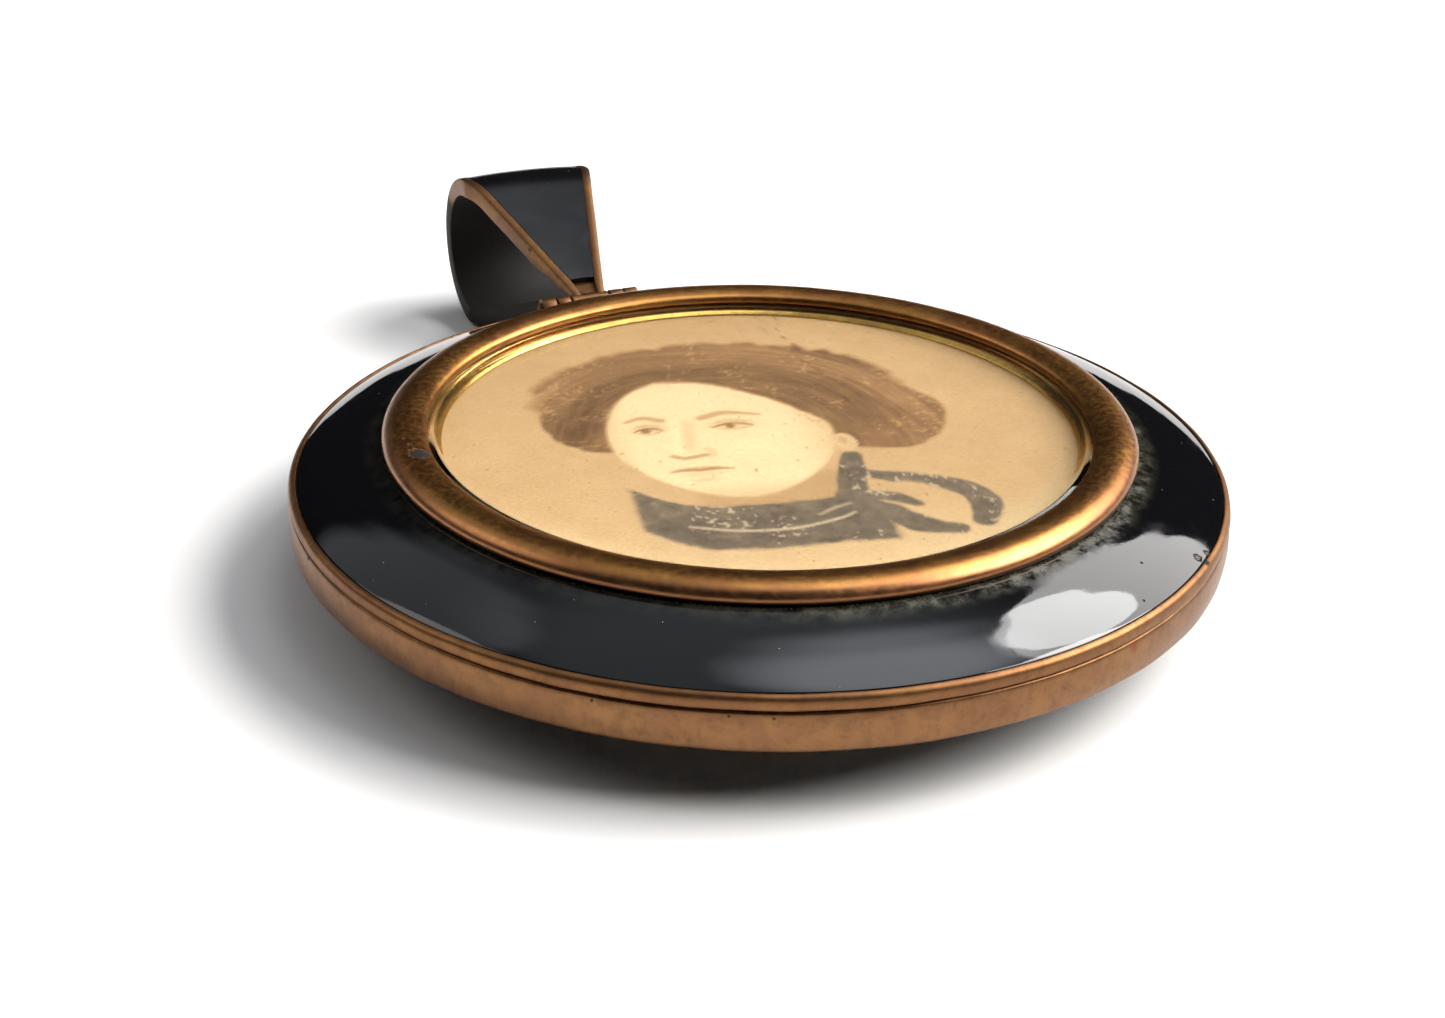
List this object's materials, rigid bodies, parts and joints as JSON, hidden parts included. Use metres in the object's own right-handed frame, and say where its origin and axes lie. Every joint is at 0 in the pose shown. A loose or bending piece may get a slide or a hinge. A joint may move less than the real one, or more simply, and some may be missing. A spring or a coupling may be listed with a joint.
{
  "type": "portrait locket",
  "caption": "Round hinged locket with domed enamel borders, a glazed bezel over a printed portrait, an inner keepsake frame and a tapered folded strap bail.",
  "frame": {"origin": "centre of the back plate's flat resting face", "axes": "+Z out through the glazed face, +Y from the case's centre towards the bail, +X to the right when the face is seen with the bail up"},
  "size_m": [0.038, 0.0522, 0.008],
  "materials": {
    "case_band": "worn gilt brass, rosy brown",
    "closing_collar": "bright gilt",
    "back_tray": "gilt inside",
    "back_enamel": "glossy black enamel",
    "back_bezel": "worn gilt brass",
    "back_plate": "worn gilt brass",
    "keepsake_card": "aged paper",
    "inner_glass": "clear",
    "inner_frame": "bright gilt",
    "hinge_pin": "worn brass",
    "case_knuckle_left": "worn gilt brass",
    "case_knuckle_right": "worn gilt brass",
    "cover_lip": "worn gilt brass",
    "front_tray": "gilt inside",
    "front_enamel": "glossy black enamel",
    "backing_card": "aged card",
    "portrait_card": null,
    "gilt_ring": "bright gilt foil",
    "cover_knuckle_left": "worn gilt brass",
    "cover_knuckle_right": "worn gilt brass",
    "front_bezel": "worn gilt brass",
    "front_glass": "clear, bevelled edge",
    "bail_strap": "worn gilt brass",
    "bail_enamel": "glossy black enamel"
  },
  "bodies": {
    "case": {"case_band": "case_band", "closing_collar": "closing_collar", "back_tray": "back_tray", "back_enamel": "back_enamel", "back_bezel": "back_bezel", "back_plate": "back_plate", "keepsake_card": "keepsake_card", "inner_glass": "inner_glass", "inner_frame": "inner_frame", "hinge_pin": "hinge_pin", "case_knuckle_left": "case_knuckle_left", "case_knuckle_right": "case_knuckle_right"},
    "cover": {"cover_lip": "cover_lip", "front_tray": "front_tray", "front_enamel": "front_enamel", "backing_card": "backing_card", "portrait_card": "portrait_card", "gilt_ring": "gilt_ring", "cover_knuckle_left": "cover_knuckle_left", "cover_knuckle_right": "cover_knuckle_right"},
    "bezel": {"front_bezel": "front_bezel", "front_glass": "front_glass"},
    "bail": {"bail_strap": "bail_strap", "bail_enamel": "bail_enamel"}
  },
  "joints": [
    {"name": "cover_hinge", "type": "hinge", "parent": "case", "child": "cover", "pos_m": [0, 0.02005, 0.00402], "axis": [-1, 0, 0], "range_deg": [0, 90]},
    {"name": "bezel_lift", "type": "slide", "parent": "cover", "child": "bezel", "axis": [0, 0, 1], "range_m": [0, 0.0025]},
    {"name": "bail_swing", "type": "hinge", "parent": "case", "child": "bail", "pos_m": [0, 0.02005, 0.00402], "axis": [-1, 0, 0], "range_deg": [-12, 75]}
  ]
}
